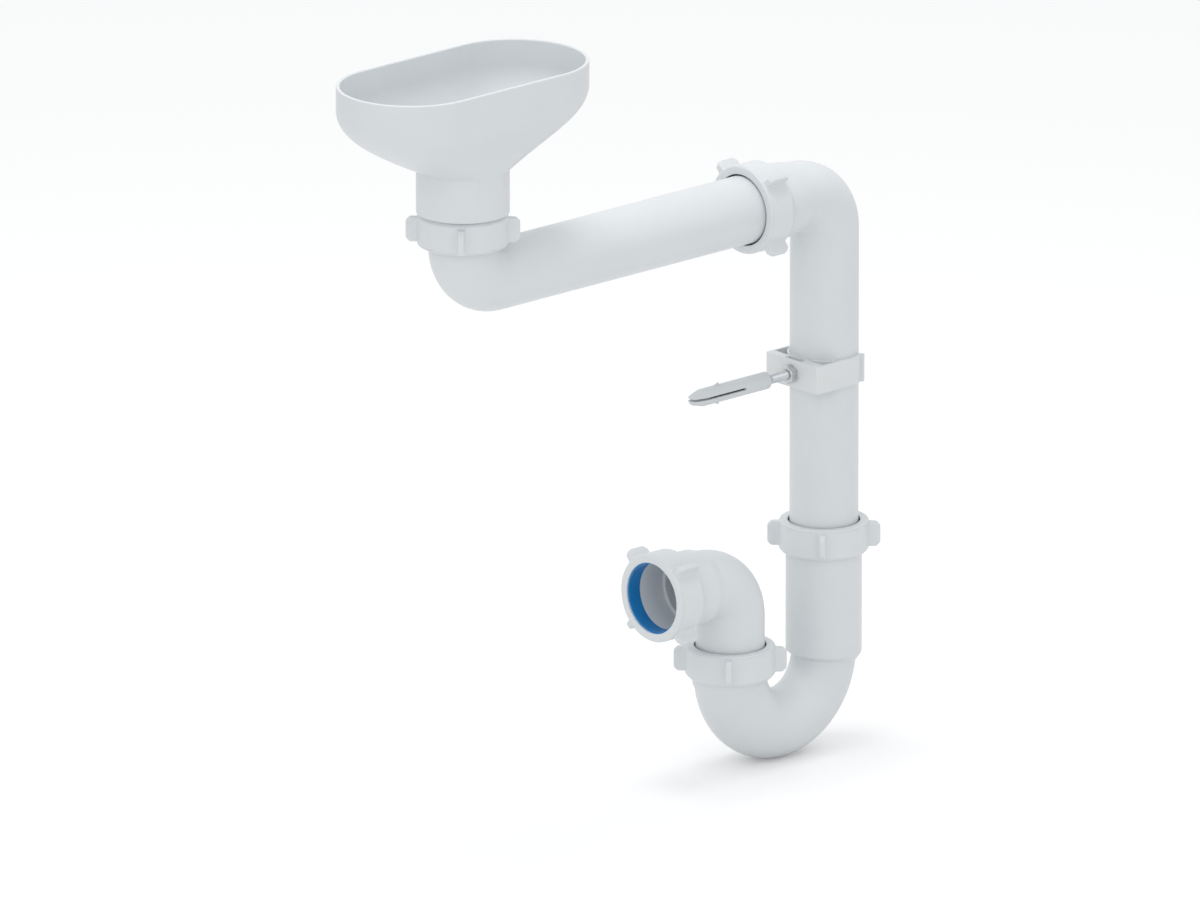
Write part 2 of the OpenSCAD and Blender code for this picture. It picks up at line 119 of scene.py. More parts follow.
class Facing(Enum):
    """Direction from a nut's closed face into its thread."""

    UP = "up"
    DOWN = "down"
    ALONG_X = "along_x"

    def turn(self) -> Array:
        """Rows of the turn that takes the nut's own +Z to this direction."""
        return {
            Facing.UP: np.eye(3),
            Facing.DOWN: np.diag([1.0, -1.0, -1.0]),
            Facing.ALONG_X: np.array([[0, 0, 1.0], [0, 1.0, 0], [-1.0, 0, 0]]),
        }[self]


# ---- finishes


class Shading:
    """A material's node tree, with the few calls that the finishes share."""

    def __init__(self, name: str) -> None:
        """Start a material with an empty tree, a Principled shader and an output.

        Args:
            name: Name of the material.
        """
        self.material = bpy.data.materials.new(name)
        self.material.use_nodes = True
        self.tree = self.material.node_tree
        self.tree.nodes.clear()
        self.shader = self.node("ShaderNodeBsdfPrincipled")
        output = self.node("ShaderNodeOutputMaterial")
        self.link(self.shader.outputs["BSDF"], output.inputs["Surface"])
        self.place = self.node("ShaderNodeTexCoord").outputs["Object"]

    def node(self, kind: str, **settings: object) -> bpy.types.Node:
        """Add a node and set its properties.

        Args:
            kind: Blender's name of the node type.
            **settings: Properties of the node.

        Returns:
            The new node.
        """
        made = self.tree.nodes.new(kind)
        for key, value in settings.items():
            setattr(made, key, value)
        return made

    def link(self, source: bpy.types.NodeSocket, target: bpy.types.NodeSocket) -> None:
        """Join an output to an input."""
        self.tree.links.new(source, target)

    def noise(self, scale: float, detail: float = 3.0, stretch: Colour = (1, 1, 1)) -> bpy.types.NodeSocket:
        """Add noise that is fixed to the piece.

        Args:
            scale: Number of blotches in a metre.
            detail: Layers of finer noise.
            stretch: Scale along each axis.

        Returns:
            The noise value, about 0.3 to 0.7.
        """
        mapping = self.node("ShaderNodeMapping")
        mapping.inputs["Scale"].default_value = stretch
        self.link(self.place, mapping.inputs["Vector"])
        made = self.node("ShaderNodeTexNoise")
        made.inputs["Scale"].default_value = scale
        made.inputs["Detail"].default_value = detail
        self.link(mapping.outputs["Vector"], made.inputs["Vector"])
        return made.outputs["Fac"]

    def tint(self, value: bpy.types.NodeSocket, dark: Colour, pale: Colour) -> None:
        """Colour the shader between two tints by a noise value."""
        ramp = self.node("ShaderNodeValToRGB")
        ramp.color_ramp.elements[0].position = 0.3
        ramp.color_ramp.elements[1].position = 0.7
        ramp.color_ramp.elements[0].color = (*dark, 1)
        ramp.color_ramp.elements[1].color = (*pale, 1)
        self.link(value, ramp.inputs["Fac"])
        self.link(ramp.outputs["Color"], self.shader.inputs["Base Color"])

    def gloss(self, value: bpy.types.NodeSocket, low: float, high: float) -> None:
        """Let the roughness wander from low to high with a noise value."""
        spread = self.node("ShaderNodeMapRange")
        spread.inputs["From Min"].default_value = 0.3
        spread.inputs["From Max"].default_value = 0.7
        spread.inputs["To Min"].default_value = low
        spread.inputs["To Max"].default_value = high
        self.link(value, spread.inputs["Value"])
        self.link(spread.outputs["Result"], self.shader.inputs["Roughness"])

    def relief(self, value: bpy.types.NodeSocket, depth: float, strength: float) -> None:
        """Raise a fine relief of the given depth in metres from a noise value."""
        bump = self.node("ShaderNodeBump")
        bump.inputs["Strength"].default_value = strength
        bump.inputs["Distance"].default_value = depth
        self.link(value, bump.inputs["Height"])
        self.link(bump.outputs["Normal"], self.shader.inputs["Normal"])


def srgb(red: int, green: int, blue: int) -> Colour:
    """Turn 0 to 255 display values into linear light: below 0.04 a straight part, above it a power of 2.4."""
    shown = np.array([red, green, blue]) / 255
    linear = np.where(shown <= 0.04045, shown / 12.92, ((shown + 0.055) / 1.055) ** 2.4)
    return tuple(float(v) for v in linear)


def shaded(colour: Colour, share: float) -> Colour:
    """Darken or lighten a colour by a share of itself."""
    return tuple(float(v) * (1 + share) for v in colour)


@dataclass(frozen=True)
class MouldedPlastic:
    """Injection-moulded plastic: one colour that wanders a little, and a faint moulded grain.

    Attributes:
        name: Name of the material.
        colour: Mean colour in linear light.
        wander: Share by which the colour gets darker and paler.
        smooth: Lowest roughness.
        dull: Highest roughness.
        grain: Depth of the grain in metres.
        glow: Weight of the light that scatters under the surface.
    """

    name: str
    colour: Colour
    wander: float = 0.012
    smooth: float = 0.36
    dull: float = 0.46
    grain: float = 0.00006
    glow: float = 0.0

    def material(self) -> bpy.types.Material:
        """Make the material."""
        made = Shading(self.name)
        made.tint(made.noise(28, 3), shaded(self.colour, -self.wander), shaded(self.colour, self.wander))
        made.gloss(made.noise(190, 4), self.smooth, self.dull)
        made.relief(made.noise(1500, 2), self.grain, 0.25)
        made.shader.inputs["IOR"].default_value = 1.49
        made.shader.inputs["Specular IOR Level"].default_value = 0.42
        if self.glow:
            made.shader.inputs["Subsurface Weight"].default_value = self.glow
            made.shader.inputs["Subsurface Radius"].default_value = (0.0016, 0.0014, 0.0012)
            made.shader.inputs["Subsurface Scale"].default_value = 1.0
        return made.material


@dataclass(frozen=True)
class SealRubber:
    """Soft seal: an even colour, a wiped sheen and fine mould marks round the ring."""

    name: str
    colour: Colour

    def material(self) -> bpy.types.Material:
        """Make the material."""
        made = Shading(self.name)
        made.tint(made.noise(60, 2), shaded(self.colour, -0.06), shaded(self.colour, 0.06))
        made.gloss(made.noise(260, 3), 0.42, 0.55)
        made.relief(made.noise(900, 3), 0.00008, 0.3)
        made.shader.inputs["Sheen Weight"].default_value = 0.08
        made.shader.inputs["Sheen Roughness"].default_value = 0.4
        return made.material


@dataclass(frozen=True)
class PlatedSteel:
    """Plated steel: bright metal with fine marks drawn along one axis and duller patches."""

    name: str
    colour: Colour
    smooth: float
    dull: float
    drawn: Colour = (0.06, 1, 1)
    mark: float = 0.00002

    def material(self) -> bpy.types.Material:
        """Make the material."""
        made = Shading(self.name)
        made.tint(made.noise(700, 3, self.drawn), shaded(self.colour, -0.22), shaded(self.colour, 0.08))
        made.gloss(made.noise(420, 4), self.smooth, self.dull)
        made.relief(made.noise(2600, 2, self.drawn), self.mark, 0.35)
        made.shader.inputs["Metallic"].default_value = 1.0
        return made.material


FINISHES = {
    Slot.PLASTIC: MouldedPlastic("moulded_white_plastic", srgb(215, 219, 221)),
    Slot.SEAL: SealRubber("blue_seal_rubber", srgb(10, 122, 190)),
    # The same blue rubber painted dark grey-blue as painted shade for the shadowed gap round a pipe.
    Slot.SEAL_PAINTED_SHADE: SealRubber("seal_rubber_painted_shade", srgb(38, 48, 58)),
    Slot.CLIP: MouldedPlastic("clip_white_plastic", srgb(218, 221, 222), smooth=0.32, dull=0.42),
    Slot.NYLON: MouldedPlastic("plug_grey_nylon", srgb(206, 210, 212), wander=0.03, smooth=0.45, dull=0.58),
    Slot.BOLT: PlatedSteel("bright_zinc_bolt", srgb(205, 208, 212), 0.12, 0.24),
    Slot.NUT: PlatedSteel("plated_nut_steel", srgb(208, 210, 211), 0.34, 0.46, drawn=(1, 0.2, 1)),
}


class Wardrobe:
    """Makes each finish once and puts it on pieces."""

    def __init__(self) -> None:
        """Make every material."""
        self.made = {slot: finish.material() for slot, finish in FINISHES.items()}

    def dress(self, piece: bpy.types.Object, slot: Slot) -> bpy.types.Object:
        """Put a slot's finish on every material place of a piece.

        Args:
            piece: The mesh object.
            slot: The record's slot.

        Returns:
            The same piece.
        """
        if not piece.data.materials:
            piece.data.materials.append(self.made[slot])
        for place in range(len(piece.data.materials)):
            piece.data.materials[place] = self.made[slot]
        return piece


# ---- meshes


def rounded(run: Array, cuts: Array, steps: int = 5) -> Array:
    """Round the inner corners of a run of points.

    Each corner P is cut back by its cut along both sides, to A and C, and they are joined by the
    parabola (1-t)^2 A + 2t(1-t) P + t^2 C. The run's two ends give directions only and are left out.

    Args:
        run: Points in order, one row each.
        cuts: How far each inner corner is cut back.
        steps: Points on each rounded corner.

    Returns:
        The rounded points.
    """
    inner = run[1:-1]
    back, on = run[:-2] - inner, run[2:] - inner
    cut = np.asarray(cuts, float)[:, None]
    start = inner + back / np.linalg.norm(back, axis=1, keepdims=True) * cut
    end = inner + on / np.linalg.norm(on, axis=1, keepdims=True) * cut
    t = np.linspace(0, 1, steps)[None, :, None]
    curve = (1 - t) ** 2 * start[:, None] + 2 * t * (1 - t) * inner[:, None] + t**2 * end[:, None]
    return curve.reshape(-1, run.shape[1])


def rounded_loop(corners: Array, cuts: Array, steps: int = 5) -> Array:
    """Round every corner of a closed outline, as rounded does with a run."""
    return rounded(np.vstack([corners[-1:], corners, corners[:1]]), cuts, steps)


def skin_faces(rings: int, around: int) -> Array:
    """Quads of a skin that is closed both ways, each from one ring to the next and on round to the first.

    Args:
        rings: Number of rings.
        around: Points in each ring.

    Returns:
        Four point numbers for each face.
    """
    ring = np.arange(rings)[:, None] * around
    after = (ring + around) % (rings * around)
    here = np.arange(around)[None, :]
    beside = (here + 1) % around
    return np.stack([ring + here, ring + beside, after + beside, after + here], axis=-1).reshape(-1, 4)


def new_piece(name: str, points: Array, faces: Array, sharp_deg: float = 40) -> bpy.types.Object:
    """Make a smooth piece of the object from points in millimetres.

    Args:
        name: Name of the piece.
        points: One row of x, y, z for each point.
        faces: Four or three point numbers for each face.
        sharp_deg: Edges that turn by more than this stay crisp.

    Returns:
        The new object, at the origin and riding on the frame.
    """
    mesh = bpy.data.meshes.new(name)
    mesh.from_pydata(np.asarray(points).reshape(-1, 3) * MM, [], np.asarray(faces).tolist())
    mesh.polygons.foreach_set("use_smooth", np.ones(len(mesh.polygons), bool))
    mesh.set_sharp_from_angle(angle=math.radians(sharp_deg))
    mesh.update()
    piece = bpy.data.objects.new(name, mesh)
    bpy.context.scene.collection.objects.link(piece)
    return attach(piece, BODY)


def box_mm(node: str) -> tuple[Array, Array]:
    """Lowest and highest corner of a node in millimetres."""
    low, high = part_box(node)
    return np.array(low) / MM, np.array(high) / MM


# ---- sub-assemblies


@dataclass
class SlipJoint:
    """Sizes that every compression joint shares: pipe, socket, tapered seat and thread."""

    pipe_r: float = 20.0
    socket_r: float = 20.4
    seat_r: float = 22.4
    seat_l: float = 7.0
    collar_r: float = 22.15
    thread_r: float = 23.9
    mouth_set: float = 3.6


@dataclass
class OvalHopper(SlipJoint):
    """Oval hopper on a round neck, with a socket below it.

    Heights are from the closed face of the hopper's nut. A ring is a circle that is pulled apart by c
    to each side along X, so it goes from round at the neck to a long oval at the rim.
    """

    node: str = "hopper"
    rim_l: float = 166.2
    rim_w: float = 86.6
    height: float = 83.2
    wall: float = 2.2
    neck_r: float = 26.9
    neck_l: float = 26.2
    rim_wall_h: float = 14.5
    fillet: float = 15.8
    round: float = 16.3
    lead: float = 0.79
    shoulder: float = 18.8
    groove: float = 0.6
    stop: float = 19.6
    floor: float = 21.8
    funnel: float = 24.3
    drain_r: float = 18.0
    around: int = 240
    steps: int = 40

    def flare(self, inset: float, low: float, high: float) -> Array:
        """Stations (c, r, z) of the flare from the neck to the upright wall.

        With t from 0 to 1 and the cubic steps of a Bezier curve, the side goes out by 3(1-t)t^2 + t^3,
        the ends go out by that and 3(1-t)^2 t times the lead, and the height starts upwards from the
        neck by the fillet and comes upwards into the wall by the round.

        Args:
            inset: Distance of the skin from the outside of the wall.
            low: Height at the neck.
            high: Height at the upright wall.

        Returns:
            One row of c, r, z for each station.
        """
        t = np.linspace(0, 1, self.steps) ** 1.3
        early, late, last = 3 * (1 - t) ** 2 * t, 3 * (1 - t) * t**2, t**3
        across = late + last
        along = early * self.lead + across
        pull = (self.rim_l - self.rim_w) / 2
        height = (1 - t) ** 3 * low + early * (low + self.fillet) + late * (high - self.round) + last * high
        reach = self.neck_r + (self.rim_w / 2 - self.neck_r) * across
        return np.stack([pull * along, reach - inset, height], axis=1)

    def stations(self) -> Array:
        """Closed run of (c, r, z): up the outside, over the rim, down the inside and round the socket."""
        start = self.shoulder + self.neck_l
        end = self.shoulder + self.height - self.rim_wall_h
        outer = self.flare(0, start, end)
        inner = self.flare(self.wall, start + self.wall, end)[::-1]
        pull, rim_r = (self.rim_l - self.rim_w) / 2, self.rim_w / 2
        top = self.shoulder + self.height
        rim = rounded(
            np.array([outer[-1], (pull, rim_r, top), (pull, rim_r - self.wall, top), inner[0]]),
            [0.9, 0.9], 6)
        base = np.array([
            inner[-1],
            (0, self.neck_r - self.wall, self.funnel),
            (0, self.drain_r, self.floor),
            (0, self.drain_r, self.stop),
            (0, self.socket_r, self.stop),
            (0, self.socket_r, self.mouth_set + self.seat_l),
            (0, self.seat_r, self.mouth_set),
            (0, self.thread_r, self.mouth_set),
            (0, self.thread_r, self.shoulder + self.groove),
            (0, self.neck_r, self.shoulder + self.groove),
            outer[0],
        ])
        return np.vstack([outer, rim, inner, rounded(base, [2, 0.5, 0.3, 0.2, 0.8, 0.3, 0.4, 0.2, 0.15])])

    def build(self, wardrobe: Wardrobe) -> bpy.types.Object:
        """Make the hopper over its node."""
        low, high = box_mm(self.node)
        middle = (low + high) / 2
        face = low[2] - self.mouth_set
        pull, reach, height = (column[:, None] for column in self.stations().T)
        turn = np.linspace(0, 2 * np.pi, self.around, endpoint=False)[None, :] + np.pi / self.around
        points = np.stack([
            middle[0] + np.sign(np.cos(turn)) * pull + np.cos(turn) * reach,
            middle[1] + np.sin(turn) * reach,
            face + height + 0 * turn,
        ], axis=-1)
        piece = new_piece("hopper_skin", points, skin_faces(len(points), self.around))
        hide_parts(self.node)
        return wardrobe.dress(piece, Slot.PLASTIC)


@dataclass
class TrapBend(SlipJoint):
    """U-bend with a long inlet sleeve, a tube that widens towards the outlet, and a short socket.

    The whole piece is one profile of path length and radius, carried down the sleeve, round the half
    circle and up the outlet leg.
    """

    node: str = "trap_bend"
    bend_r: float = 37.25
    bend_z: float = -58.0
    tube_in_r: float = 18.8
    tube_out_r: float = 21.2
    bore_in_r: float = 16.8
    bore_out_r: float = 18.2
    grow_from: float = 30.0
    grow_to: float = 140.0
    thread_l: float = 14.8
    sleeve_drop: float = 1.3
    sleeve_taper: float = 3.6
    sleeve_ledge: float = 0.25
    leg_drop: float = 4.0
    leg_taper: float = 1.8
    leg_mouth_z: float = -44.1
    around: int = 120
    steps: int = 90

    def path(self, run: Array, top_z: float, right_x: float) -> tuple[Array, Array, Array]:
        """Centre and outward direction at a length along the bend.

        Down a straight line, round the half circle of the bend's radius by the angle of length over
        radius, and up the other straight line.

        Args:
            run: Lengths from the sleeve's mouth.
            top_z: Height of the mouth.
            right_x: Place of the sleeve's axis.

        Returns:
            The centres, the directions away from the bend's centre, and the angles.
        """
        down = top_z - self.bend_z
        arc = np.pi * self.bend_r
        angle = np.clip((run - down) / self.bend_r, 0, np.pi)
        rise = np.maximum(down - run, 0) + np.maximum(run - down - arc, 0)
        flat = np.zeros_like(run)
        outward = np.stack([np.cos(angle), flat, -np.sin(angle)], axis=-1)
        pivot = np.array([right_x - self.bend_r, 0, self.bend_z])
        centre = pivot + self.bend_r * outward + np.stack([flat, flat, rise], axis=-1)
        return centre, outward, angle

    def tube(self, first: float, last: float, down: float, inner_r: float, outer_r: float) -> Array:
        """Rows (length, radius) of the widening tube, by the smooth step t^2 (3 - 2t) of its angle."""
        run = np.linspace(first, last, self.steps)
        degrees = np.degrees(np.clip((run - down) / self.bend_r, 0, np.pi))
        t = np.clip((degrees - self.grow_from) / (self.grow_to - self.grow_from), 0, 1)
        return np.stack([run, inner_r + (outer_r - inner_r) * t * t * (3 - 2 * t)], axis=1)

    def profile(self, down: float) -> Array:
        """Closed run of (length, radius): along the outside and back through the bore."""
        end = down + np.pi * self.bend_r
        mouth = end + self.leg_mouth_z - self.bend_z
        sleeve = down + self.sleeve_drop
        leg = end - self.leg_drop
        outer = self.tube(sleeve + self.sleeve_taper + 1.5, leg - self.leg_taper - 1.5, down,
                          self.tube_in_r, self.tube_out_r)
        inner = self.tube(sleeve + 1, leg - 1, down, self.bore_in_r, self.bore_out_r)[::-1]
        outlet = np.array([
            outer[-1],
            (leg - self.leg_taper, self.tube_out_r),
            (leg, self.collar_r),
            (mouth - self.thread_l, self.collar_r),
            (mouth - self.thread_l, self.thread_r),
            (mouth, self.thread_r),
            (mouth, self.seat_r),
            (mouth - self.seat_l, self.socket_r),
            (leg + 1, self.socket_r),
            (leg + 1, self.bore_out_r),
            inner[0],
        ])
        inlet = np.array([
            inner[-1],
            (down + 0.3, self.bore_in_r),
            (down + 0.3, self.socket_r),
            (self.seat_l, self.socket_r),
            (0, self.seat_r),
            (0, self.thread_r),
            (self.thread_l, self.thread_r),
            (self.thread_l, self.collar_r),
            (sleeve, self.collar_r),
            (sleeve + self.sleeve_taper, self.tube_in_r + self.sleeve_ledge),
            (sleeve + self.sleeve_taper + 0.3, self.tube_in_r),
            outer[0],
        ])
        return np.vstack([
            outer,
            rounded(outlet, [0.6, 0.5, 0.2, 0.2, 0.4, 0.3, 0.8, 0.3, 0.3]),
            inner,
            rounded(inlet, [0.2, 0.3, 0.8, 0.3, 0.4, 0.2, 0.2, 1.2, 0.1, 0.12]),
        ])

    def build(self, wardrobe: Wardrobe) -> bpy.types.Object:
        """Make the U-bend over its node."""
        _, high = box_mm(self.node)
        right_x = high[0] - self.thread_r
        run, radius = self.profile(high[2] - self.bend_z).T
        centre, outward, _ = self.path(run, high[2], right_x)
        turn = np.linspace(0, 2 * np.pi, self.around, endpoint=False)[None, :, None]
        side = np.array([0, -1.0, 0])
        reach = radius[:, None, None]
        points = centre[:, None] + reach * (np.cos(turn) * outward[:, None] + np.sin(turn) * side)
        piece = new_piece("trap_bend_skin", points, skin_faces(len(points), self.around))
        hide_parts(self.node)
        return wardrobe.dress(piece, Slot.PLASTIC)


@dataclass
class WingedNut:
    """Compression nut with four wings.

    Two profiles run round the nut's wall with the same number of points: one at a wing's middle and
    one on the plain body. A column of the skin stands at its own angle and takes a share of each.
    """

    node: str
    facing: Facing
    nut_r: float = 26.1
    hole_r: float = 21.1
    bore_r: float = 24.0
    length: float = 18.5
    face_t: float = 1.4
    wing_r: float = 32.8
    wing_half: float = 1.75
    wing_from: float = 1.4
    wing_to: float = 15.9
    wing_round: float = 2.2
    wings: int = 4
    plain_steps: int = 12

    def outline(self) -> tuple[Array, Array]:
        """Angles and shares of the wing over one wing's part of the nut.

        Half of the outline goes from the wing's middle round its tip, down its side, round the fillet
        at its foot and on along the body, and the other half mirrors it. A column's share is how far
        its point is from the body's radius to the wing's.

        Returns:
            The angles and the shares, one for each column.
        """
        foot = self.nut_r - 0.05
        body = math.radians(10.5)
        corner = rounded(np.array([
            (self.wing_r, 0),
            (self.wing_r, self.wing_half),
            (foot, self.wing_half + 0.25),
            (foot * math.cos(body), foot * math.sin(body)),
        ]), [0.9, 2.3], 7)
        half = np.vstack([[(self.wing_r, 0.35)], corner])
        angle = np.arctan2(half[:, 1], half[:, 0])
        share = np.clip((np.hypot(*half.T) - self.nut_r) / (self.wing_r - self.nut_r), 0, None)
        plain = np.linspace(angle[-1], np.pi / self.wings, self.plain_steps, endpoint=False)[1:]
        angle = np.concatenate([angle, plain])
        share = np.concatenate([share, 0 * plain])
        return np.concatenate([-angle[::-1], angle]), np.concatenate([share[::-1], share])

    def profiles(self) -> tuple[Array, Array]:
        """Closed runs of (radius, height): at a wing's middle and on the plain body."""
        low, high, r, tip = self.wing_from, self.wing_to, self.nut_r, self.wing_r
        lift = self.wing_round
        inside = [(self.bore_r + 0.2, self.length), (self.bore_r, self.length - 0.6),
                  (self.bore_r, self.face_t), (self.hole_r, self.face_t), (self.hole_r, 0)]
        body = np.array([
            (r, 0), (r, low - 0.2), (r, low + 0.5), (r, low + lift), (r, high - lift),
            (r, high - 0.5), (r, high + 0.2), (r, self.length - 1.8),
            (self.bore_r + 0.45, self.length), *inside])
        wing = np.array([
            (r, 0), (r, low), (tip - lift, low), (tip, low + lift), (tip, high - lift),
            (tip - lift, high), (r, high), (r, self.length - 1.8),
            (self.bore_r + 0.45, self.length), *inside])
        cuts = [1.2, 0.45, 0.3, 0.9, 0.9, 0.3, 0.45, 0.3, 0.1, 0.08, 0.2, 0.3, 0.3, 0.2]
        plain = [1.2, 0.1, 0.3, 0.8, 0.8, 0.3, 0.1, 0.3, 0.1, 0.08, 0.2, 0.3, 0.3, 0.2]
        return rounded_loop(wing, cuts), rounded_loop(body, plain)

    def build(self, wardrobe: Wardrobe) -> bpy.types.Object:
        """Make the nut over its node."""
        low, high = box_mm(self.node)
        place = (low + high) / 2
        axis = self.facing.turn() @ np.array([0, 0, 1.0])
        place = place - axis * np.abs((high - low) @ axis) / 2
        angle, share = self.outline()
        quarter = 2 * np.pi / self.wings
        angle = (angle[None] + quarter * (np.arange(self.wings)[:, None] + 0.5)).ravel()[None, :]
        share = np.tile(share, self.wings)[None, :]
        wing, body = self.profiles()
        reach = body[:, :1] + (wing[:, :1] - body[:, :1]) * share
        height = body[:, 1:] + (wing[:, 1:] - body[:, 1:]) * np.clip(share, 0, 1)
        points = np.stack([np.cos(angle) * reach, np.sin(angle) * reach, height + 0 * angle], axis=-1)
        points = place + points @ self.facing.turn().T
        piece = new_piece(self.node + "_skin", points, skin_faces(len(points), angle.shape[1]))
        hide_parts(self.node)
        return wardrobe.dress(piece, Slot.PLASTIC)


@dataclass
class HangerBolt:
    """Hanger bolt: a wood thread with a point in the plug, and a machine thread through the clip."""

    node: str = "hanger_bolt"
    bolt_r: float = 3.0
    wood_root_r: float = 2.15
    wood_pitch: float = 2.6
    wood_l: float = 38.0
    point_l: float = 7.0
    metal_root_r: float = 2.45
    metal_pitch: float = 1.0
    shank_l: float = 7.0
    chamfer: float = 0.5
    around: int = 36
    rows: int = 900

    def radius(self, run: Array, turn: Array, length: float) -> Array:
        """Radius at a length from the point and an angle.

        A thread is a triangle wave of length over pitch less the share of a turn. The wood thread's
        triangle is raised to a power, so that its crests are thin, and each thread fades out by a
        straight ramp beside the plain shank. The point is a straight taper.

        Args:
            run: Lengths from the point.
            turn: Angles.
            length: The bolt's whole length.

        Returns:
            The radius at each length and angle.
        """
        def wave(pitch: float) -> Array:
            phase = (run / pitch - turn / (2 * np.pi)) % 1.0
            return 1 - np.abs(2 * phase - 1)

        wood = self.wood_root_r + (self.bolt_r - self.wood_root_r) * wave(self.wood_pitch) ** 2.2
        metal = self.metal_root_r + (self.bolt_r - self.metal_root_r) * np.minimum(wave(self.metal_pitch) * 1.15, 1)
        shank = self.bolt_r - 0.12
        metal_start = self.wood_l + self.shank_l
        fade_wood = np.clip((self.wood_l - run) / 3, 0, 1)
        fade_metal = np.clip((run - metal_start) / 1.5, 0, 1)
        reach = shank + (wood - shank) * fade_wood + (metal - shank) * fade_metal
        reach = reach * np.clip(0.12 + run / self.point_l, 0, 1)
        return np.minimum(reach, self.bolt_r - self.chamfer + np.maximum(length - run, 0))

    def build(self, wardrobe: Wardrobe) -> bpy.types.Object:
        """Make the bolt over its node, with a small flat disc at each end."""
        low, high = box_mm(self.node)
        middle, length = (low + high) / 2, high[0] - low[0]
        run = np.linspace(0, length, self.rows)[:, None]
        turn = np.linspace(0, 2 * np.pi, self.around, endpoint=False)[None, :]
        reach = self.radius(run, turn, length)
        points = np.stack([
            low[0] + run + 0 * turn,
            middle[1] + np.cos(turn) * reach,
            middle[2] + np.sin(turn) * reach,
        ], axis=-1).reshape(-1, 3)
        ends = np.array([(low[0], middle[1], middle[2]), (high[0], middle[1], middle[2])])
        faces = skin_faces(self.rows, self.around)[: (self.rows - 1) * self.around]
        here = np.arange(self.around)
        beside = (here + 1) % self.around
        tail, head = len(points), len(points) + 1
        last = (self.rows - 1) * self.around
        caps = np.concatenate([
            np.stack([np.full_like(here, tail), beside, here], axis=1),
            np.stack([np.full_like(here, head), last + here, last + beside], axis=1),
        ])
        piece = new_piece("hanger_bolt_skin", np.vstack([points, ends]), faces.tolist(), 50)
        piece.data.clear_geometry()
        piece.data.from_pydata(np.vstack([points, ends]) * MM, [], faces.tolist() + caps.tolist())
        piece.data.polygons.foreach_set("use_smooth", np.ones(len(piece.data.polygons), bool))
        piece.data.set_sharp_from_angle(angle=math.radians(50))
        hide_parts(self.node)
        return wardrobe.dress(piece, Slot.BOLT)


@dataclass
class SoftenedPart:
    """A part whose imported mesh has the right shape, copied, merged and given rounded edges."""

    node: str
    slot: Slot
    edge: float
    segments: int = 3
    sharp_deg: float = 32

    def build(self, wardrobe: Wardrobe, frame: dict) -> bpy.types.Object:
        """Make the part from its node's mesh.

        Args:
            wardrobe: The finishes.

        Returns:
            The new piece.
        """
        shape = bmesh.new()
        shape.from_mesh(frame["nodes"][self.node].data)
        bmesh.ops.remove_doubles(shape, verts=shape.verts, dist=1e-6)
        bmesh.ops.dissolve_limit(shape, angle_limit=math.radians(0.5), verts=shape.verts, edges=shape.edges)
        mesh = bpy.data.meshes.new(self.node + "_soft")
        shape.to_mesh(mesh)
        shape.free()
        mesh.polygons.foreach_set("use_smooth", np.ones(len(mesh.polygons), bool))
        piece = bpy.data.objects.new(self.node + "_soft", mesh)
        bpy.context.scene.collection.objects.link(piece)
        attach(piece, BODY)
        bevel = piece.modifiers.new("rounded_edges", "BEVEL")
        bevel.width = self.edge * MM
        bevel.segments = self.segments
        bevel.limit_method = "ANGLE"
        bevel.angle_limit = math.radians(self.sharp_deg)
        bevel.harden_normals = True
        bevel.use_clamp_overlap = True
        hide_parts(self.node)
        return wardrobe.dress(piece, self.slot)


@dataclass
class PackedParts:
    """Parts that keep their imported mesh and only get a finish."""

    slots: dict[str, Slot]

    def build(self, wardrobe: Wardrobe, frame: dict) -> None:
        """Dress each part.

        Args:
            wardrobe: The finishes.
        """
        for node, slot in self.slots.items():
            wardrobe.dress(frame["nodes"][node], slot)
            log.info("%s dressed as %s", node, slot.value)


# ---- studio


